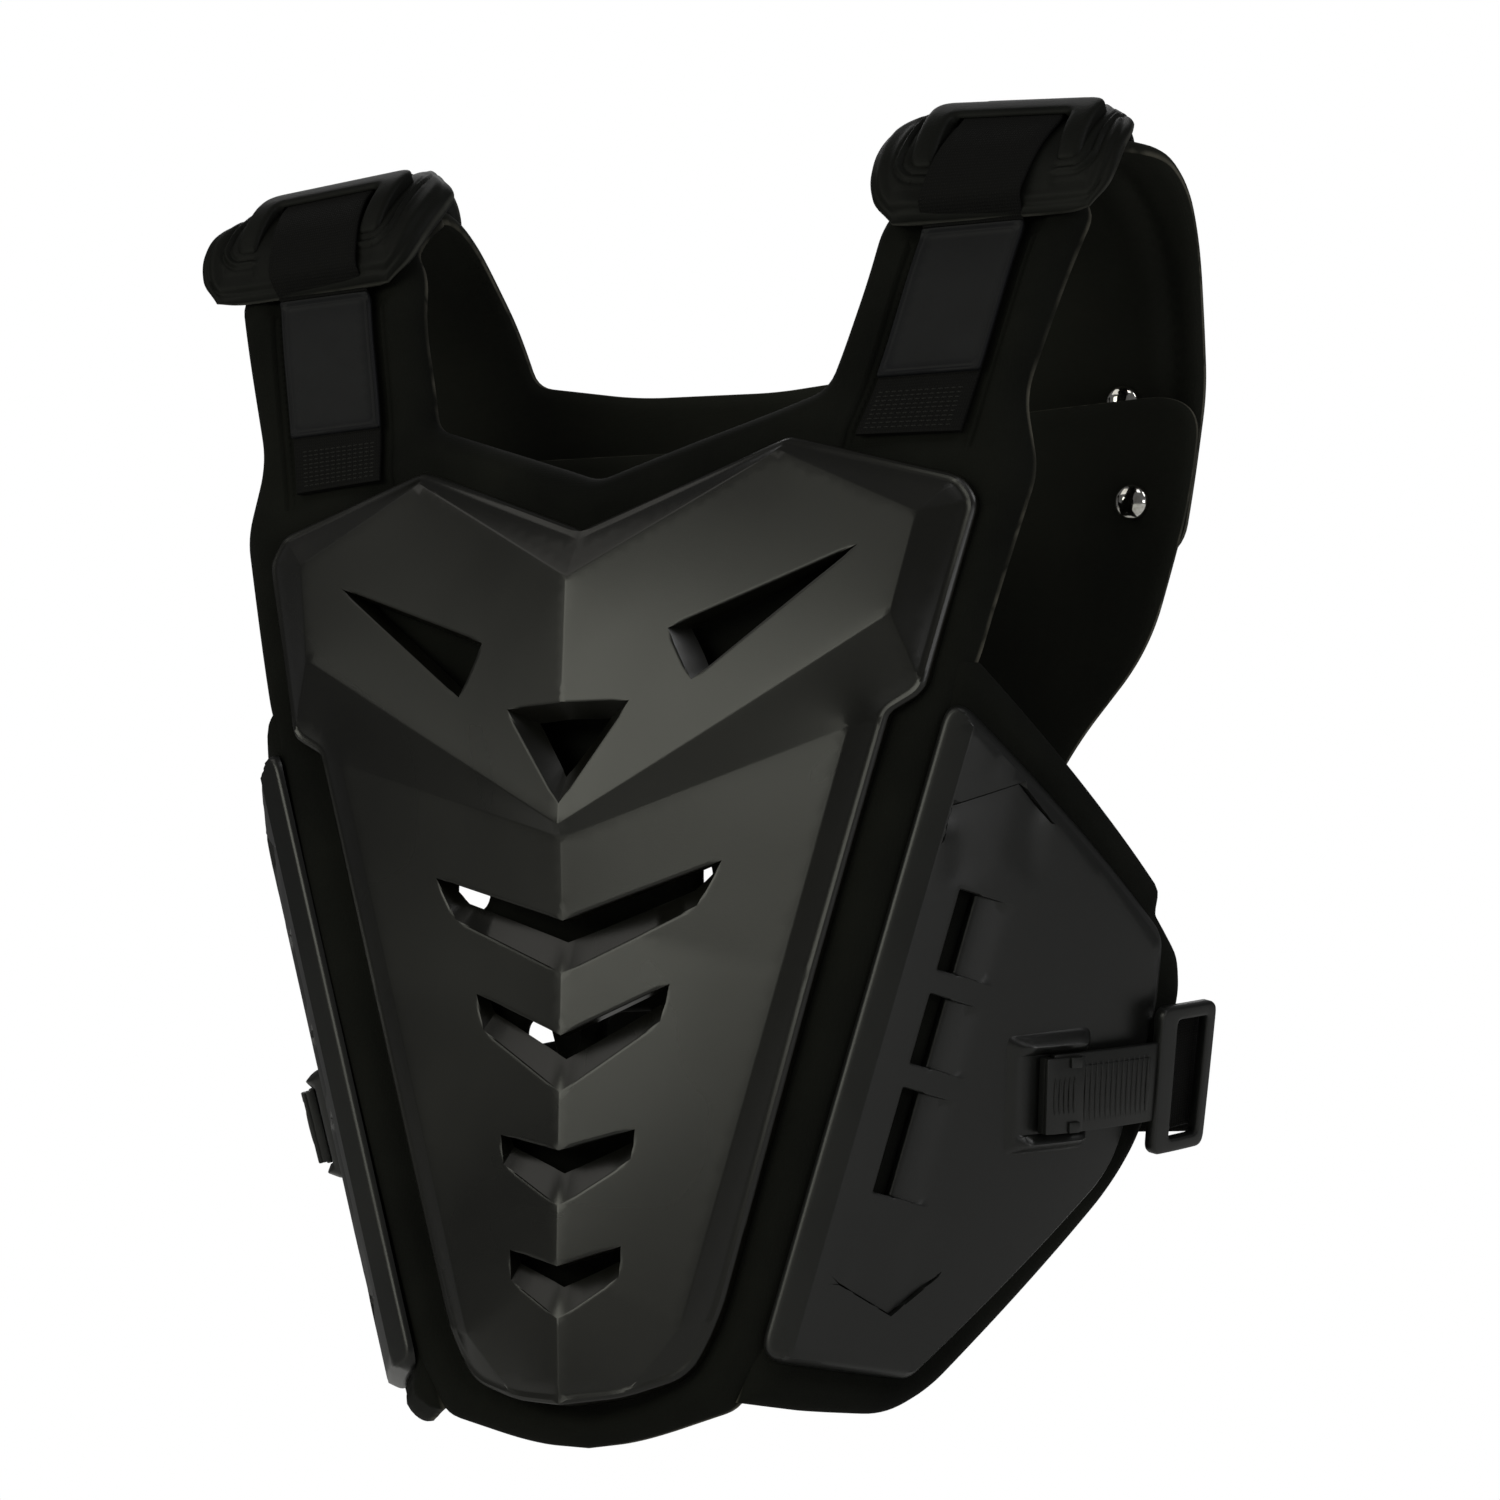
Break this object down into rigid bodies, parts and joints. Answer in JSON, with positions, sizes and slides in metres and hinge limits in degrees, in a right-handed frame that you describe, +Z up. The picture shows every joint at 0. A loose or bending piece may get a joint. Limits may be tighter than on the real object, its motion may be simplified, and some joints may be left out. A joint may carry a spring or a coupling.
{
  "type": "body armor vest",
  "caption": "Chest and back protector with a faceted vented chest plate, side plates on buckled straps, shoulder pads, webbing and a riveted foam back.",
  "frame": {"origin": "where the vest hangs on the wearer's shoulders, on the plane of symmetry, level with the underside of the shoulder straps", "axes": "+Z up, -Y to the front, +X to the wearer's left"},
  "size_m": [0.394, 0.2017, 0.5044],
  "materials": {
    "foam_fabric": "matte",
    "chest_plastic": "satin",
    "side_plastic": "matte",
    "moulded_foam": "matte",
    "webbing": "woven matte",
    "patch": "satin",
    "rivet_chrome": "polished"
  },
  "bodies": {
    "root": {"front_pad": "foam_fabric", "chest_plate": "chest_plastic", "side_plate_left": "side_plastic", "side_plate_right": "side_plastic", "buckle_left": "side_plastic", "buckle_right": "side_plastic", "ladder_strap_left": "side_plastic", "ladder_strap_right": "side_plastic", "side_webbing_left": "webbing", "side_webbing_right": "webbing", "shoulder_pad_left": "moulded_foam", "shoulder_pad_right": "moulded_foam", "shoulder_strap_left": "webbing", "shoulder_strap_right": "webbing", "label_left": "patch", "label_right": "patch", "back_pad_upper": "foam_fabric", "back_pad_lower": "foam_fabric", "rivet_left_upper": "rivet_chrome", "rivet_right_upper": "rivet_chrome", "rivet_left_lower": "rivet_chrome", "rivet_right_lower": "rivet_chrome"}
  },
  "joints": []
}
